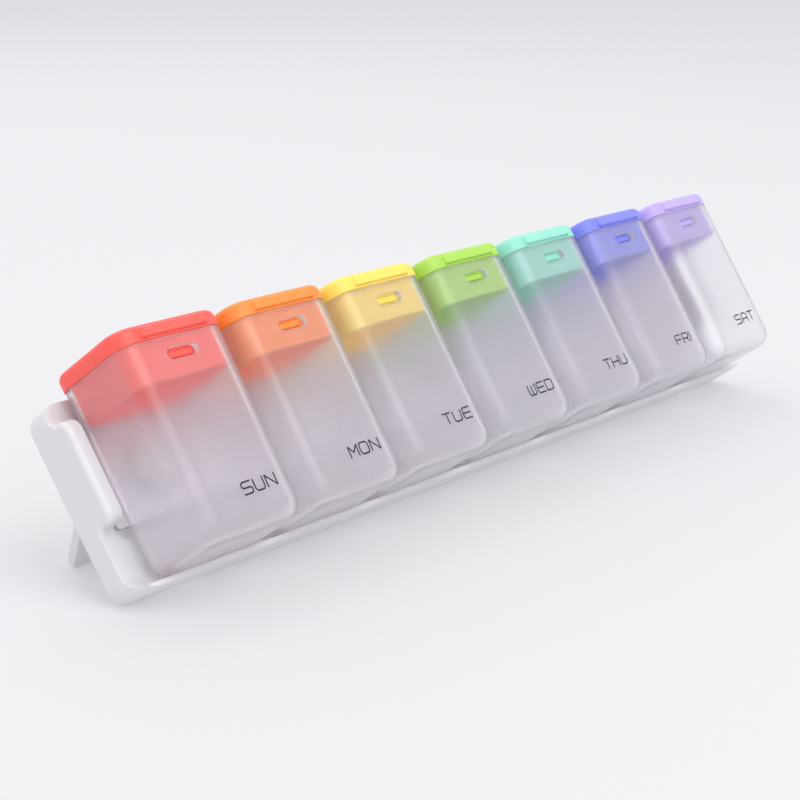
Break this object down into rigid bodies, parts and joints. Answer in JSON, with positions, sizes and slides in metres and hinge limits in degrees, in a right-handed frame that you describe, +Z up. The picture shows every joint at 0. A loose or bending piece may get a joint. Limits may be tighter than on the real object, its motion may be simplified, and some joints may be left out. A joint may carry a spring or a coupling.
{
  "type": "travel pill organizer",
  "caption": "Weekly pill organizer: translucent bottles with coloured snap-in caps, held by magnets on a leaning white tray with folding legs.",
  "frame": {"origin": "middle of the level land under the tray, on the table that it rests on", "axes": "+X runs along the row of bottles from the first day to the last; +Z is up; -Y is the side the bottles face"},
  "size_m": [0.231, 0.0465, 0.0547],
  "materials": {
    "tray_plastic": "satin",
    "strip_steel": "brushed",
    "bottle_plastic": "frosted, translucent",
    "magnet_nickel": "nickel plated",
    "cap_red": "satin",
    "cap_orange": "satin",
    "cap_yellow": "satin",
    "cap_green": "satin",
    "cap_mint": "satin",
    "cap_blue": "satin",
    "cap_violet": "satin"
  },
  "bodies": {
    "tray": {"tray": "tray_plastic", "steel_strip": "strip_steel"},
    "left_leg": {"left_leg": "tray_plastic"},
    "right_leg": {"right_leg": "tray_plastic"},
    "sunday_bottle": {"sunday_bottle": "bottle_plastic", "sunday_magnet": "magnet_nickel"},
    "sunday_cap": {"sunday_cap": "cap_red"},
    "monday_bottle": {"monday_bottle": "bottle_plastic", "monday_magnet": "magnet_nickel"},
    "monday_cap": {"monday_cap": "cap_orange"},
    "tuesday_bottle": {"tuesday_bottle": "bottle_plastic", "tuesday_magnet": "magnet_nickel"},
    "tuesday_cap": {"tuesday_cap": "cap_yellow"},
    "wednesday_bottle": {"wednesday_bottle": "bottle_plastic", "wednesday_magnet": "magnet_nickel"},
    "wednesday_cap": {"wednesday_cap": "cap_green"},
    "thursday_bottle": {"thursday_bottle": "bottle_plastic", "thursday_magnet": "magnet_nickel"},
    "thursday_cap": {"thursday_cap": "cap_mint"},
    "friday_bottle": {"friday_bottle": "bottle_plastic", "friday_magnet": "magnet_nickel"},
    "friday_cap": {"friday_cap": "cap_blue"},
    "saturday_bottle": {"saturday_bottle": "bottle_plastic", "saturday_magnet": "magnet_nickel"},
    "saturday_cap": {"saturday_cap": "cap_violet"}
  },
  "joints": [
    {"name": "left_leg_fold", "type": "hinge", "parent": "tray", "child": "left_leg", "pos_m": [-0.098, 0.01646, 0.02505], "axis": [-1, 0, 0], "range_deg": [0, 53.3]},
    {"name": "right_leg_fold", "type": "hinge", "parent": "tray", "child": "right_leg", "pos_m": [0.098, 0.01646, 0.02505], "axis": [-1, 0, 0], "range_deg": [0, 53.3]},
    {"name": "sunday_bottle_pull", "type": "slide", "parent": "tray", "child": "sunday_bottle", "axis": [0, -0.8161, 0.5779], "range_m": [0, 0.045]},
    {"name": "monday_bottle_pull", "type": "slide", "parent": "tray", "child": "monday_bottle", "axis": [0, -0.8161, 0.5779], "range_m": [0, 0.045]},
    {"name": "tuesday_bottle_pull", "type": "slide", "parent": "tray", "child": "tuesday_bottle", "axis": [0, -0.8161, 0.5779], "range_m": [0, 0.045]},
    {"name": "wednesday_bottle_pull", "type": "slide", "parent": "tray", "child": "wednesday_bottle", "axis": [0, -0.8161, 0.5779], "range_m": [0, 0.045]},
    {"name": "thursday_bottle_pull", "type": "slide", "parent": "tray", "child": "thursday_bottle", "axis": [0, -0.8161, 0.5779], "range_m": [0, 0.045]},
    {"name": "friday_bottle_pull", "type": "slide", "parent": "tray", "child": "friday_bottle", "axis": [0, -0.8161, 0.5779], "range_m": [0, 0.045]},
    {"name": "saturday_bottle_pull", "type": "slide", "parent": "tray", "child": "saturday_bottle", "axis": [0, -0.8161, 0.5779], "range_m": [0, 0.045]},
    {"name": "sunday_cap_pull", "type": "slide", "parent": "sunday_bottle", "child": "sunday_cap", "axis": [0, 0.5779, 0.8161], "range_m": [0, 0.02]},
    {"name": "monday_cap_pull", "type": "slide", "parent": "monday_bottle", "child": "monday_cap", "axis": [0, 0.5779, 0.8161], "range_m": [0, 0.02]},
    {"name": "tuesday_cap_pull", "type": "slide", "parent": "tuesday_bottle", "child": "tuesday_cap", "axis": [0, 0.5779, 0.8161], "range_m": [0, 0.02]},
    {"name": "wednesday_cap_pull", "type": "slide", "parent": "wednesday_bottle", "child": "wednesday_cap", "axis": [0, 0.5779, 0.8161], "range_m": [0, 0.02]},
    {"name": "thursday_cap_pull", "type": "slide", "parent": "thursday_bottle", "child": "thursday_cap", "axis": [0, 0.5779, 0.8161], "range_m": [0, 0.02]},
    {"name": "friday_cap_pull", "type": "slide", "parent": "friday_bottle", "child": "friday_cap", "axis": [0, 0.5779, 0.8161], "range_m": [0, 0.02]},
    {"name": "saturday_cap_pull", "type": "slide", "parent": "saturday_bottle", "child": "saturday_cap", "axis": [0, 0.5779, 0.8161], "range_m": [0, 0.02]}
  ]
}
